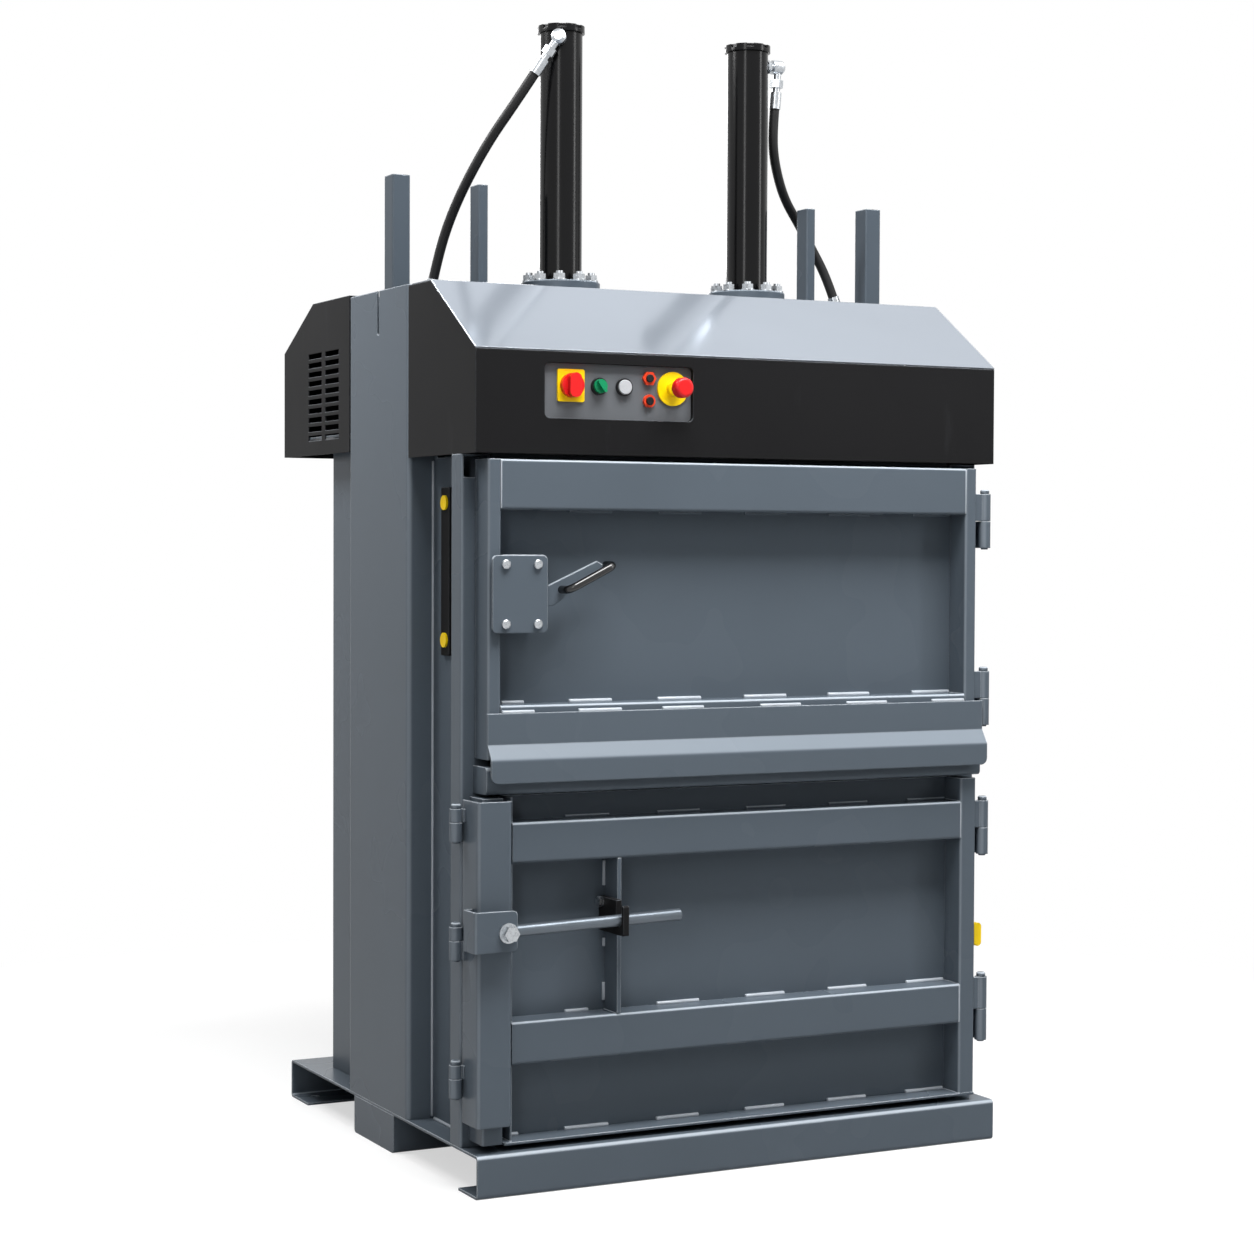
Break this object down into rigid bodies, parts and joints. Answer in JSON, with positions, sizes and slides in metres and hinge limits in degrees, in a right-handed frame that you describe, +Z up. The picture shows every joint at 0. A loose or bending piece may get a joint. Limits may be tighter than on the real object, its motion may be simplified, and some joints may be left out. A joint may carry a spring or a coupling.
{
  "type": "vertical recycling baler",
  "caption": "Floor-standing vertical recycling baler with a loading door over a bale door, a swing lock, a control panel and hydraulic cylinders on top.",
  "frame": {"origin": "centre of the four floor anchor holes, at floor level", "axes": "+X to the right seen from the doors, +Y to the back, +Z up"},
  "size_m": [1.156, 1.094, 2.221],
  "materials": {
    "grey_paint": "satin powder coat",
    "black_paint": "satin powder coat",
    "light_grey_gloss": "gloss",
    "panel_grey": "matt",
    "gloss_black": "gloss",
    "zinc": "zinc plated",
    "bright_steel": "bright drawn",
    "chrome_rod": "ground and plated",
    "cast_metal": "cast",
    "motor_grey": "satin",
    "dark_plastic": "fine grain",
    "yellow_plastic": "smooth",
    "red_plastic": "smooth",
    "orange_plastic": "smooth",
    "green_plastic": "smooth",
    "white_plastic": "smooth",
    "black_rubber": "smooth"
  },
  "bodies": {
    "frame": {"base_frame": "grey_paint", "centre_skid": "grey_paint", "columns": "grey_paint", "chamber_walls": "grey_paint", "front_posts": "grey_paint", "mid_cross_beam": "grey_paint", "top_cross_head": "grey_paint", "front_cover": "black_paint", "front_slope_panel": "light_grey_gloss", "rear_cover": "black_paint", "control_plate": "panel_grey", "yellow_plates": "yellow_plastic", "control_bezels": "dark_plastic", "button_rings": "orange_plastic", "frame_knuckles": "grey_paint", "hinge_pins": "grey_paint", "cylinder_tubes": "gloss_black", "cylinder_caps": "gloss_black", "cylinder_flanges": "grey_paint", "flange_bolts": "zinc", "hose_fittings": "zinc", "left_hose": "black_rubber", "right_hose": "black_rubber", "electric_motor": "motor_grey", "oil_tank": "black_paint", "pump_and_valve": "cast_metal", "pack_shelf": "grey_paint", "side_rail": "black_paint", "side_rail_caps": "yellow_plastic", "door_switch": "yellow_plastic"},
    "upper_door": {"upper_door_frame": "grey_paint", "upper_door_panel": "grey_paint", "upper_door_apron": "grey_paint", "upper_door_knuckles": "grey_paint", "latch_box": "grey_paint", "latch_cover": "grey_paint", "latch_screws": "zinc"},
    "latch": {"latch_lever": "grey_paint", "latch_grip": "dark_plastic"},
    "lower_door": {"lower_door_frame": "grey_paint", "lower_door_panel": "grey_paint", "lever_clip": "black_paint", "clip_bolt": "zinc", "lower_door_knuckles": "grey_paint"},
    "lever": {"lock_lever": "bright_steel"},
    "swing_post": {"swing_channel": "grey_paint", "swing_core": "grey_paint", "lock_bracket": "grey_paint", "lock_bolt": "zinc", "swing_knuckles": "grey_paint"},
    "ram": {"press_plate": "grey_paint", "guide_bars": "grey_paint", "piston_rods": "chrome_rod"},
    "isolator": {"isolator_knob": "red_plastic"},
    "selector": {"selector_knob": "green_plastic"},
    "white_key": {"white_button": "white_plastic"},
    "upper_red_key": {"upper_red_button": "dark_plastic"},
    "lower_red_key": {"lower_red_button": "dark_plastic"},
    "stop_stem": {"estop_stem": "dark_plastic"},
    "stop_head": {"estop_mushroom": "red_plastic"}
  },
  "joints": [
    {"name": "upper_door_hinge", "type": "hinge", "parent": "frame", "child": "upper_door", "pos_m": [0.554, -0.469, 1.072], "axis": [0, 0, 1], "range_deg": [0, 120]},
    {"name": "lower_door_hinge", "type": "hinge", "parent": "frame", "child": "lower_door", "pos_m": [0.554, -0.469, 0.41], "axis": [0, 0, 1], "range_deg": [0, 120]},
    {"name": "swing_post_hinge", "type": "hinge", "parent": "frame", "child": "swing_post", "pos_m": [-0.578, -0.428, 0.425], "axis": [0, 0, -1], "range_deg": [0, 110]},
    {"name": "lock_lever_pivot", "type": "hinge", "parent": "lower_door", "child": "lever", "pos_m": [-0.518, -0.512, 0.489], "axis": [0, -1, 0], "range_deg": [0, 40]},
    {"name": "latch_pivot", "type": "hinge", "parent": "upper_door", "child": "latch", "pos_m": [-0.481, -0.475, 1.1], "axis": [0, 1, 0], "range_deg": [0, 30]},
    {"name": "ram_slide", "type": "slide", "parent": "frame", "child": "ram", "axis": [0, 0, -1], "range_m": [0, 0.44]},
    {"name": "isolator_turn", "type": "hinge", "parent": "frame", "child": "isolator", "pos_m": [-0.371, -0.48, 1.4845], "axis": [0, 1, 0], "range_deg": [0, 90]},
    {"name": "selector_turn", "type": "hinge", "parent": "frame", "child": "selector", "pos_m": [-0.313, -0.484, 1.4845], "axis": [0, 1, 0], "range_deg": [-20, 70]},
    {"name": "white_button_push", "type": "slide", "parent": "frame", "child": "white_key", "axis": [0, 1, 0], "range_m": [0, 0.003], "stiffness_N_per_m": 200},
    {"name": "upper_red_push", "type": "slide", "parent": "frame", "child": "upper_red_key", "axis": [0, 1, 0], "range_m": [0, 0.003], "stiffness_N_per_m": 200},
    {"name": "lower_red_push", "type": "slide", "parent": "frame", "child": "lower_red_key", "axis": [0, 1, 0], "range_m": [0, 0.003], "stiffness_N_per_m": 200},
    {"name": "estop_push", "type": "slide", "parent": "frame", "child": "stop_stem", "axis": [0, 1, 0], "range_m": [0, 0.005]},
    {"name": "estop_twist", "type": "hinge", "parent": "stop_stem", "child": "stop_head", "pos_m": [-0.159, -0.51, 1.4845], "axis": [0, 1, 0], "range_deg": [0, 45], "stiffness_Nm_per_rad": 0.05}
  ]
}
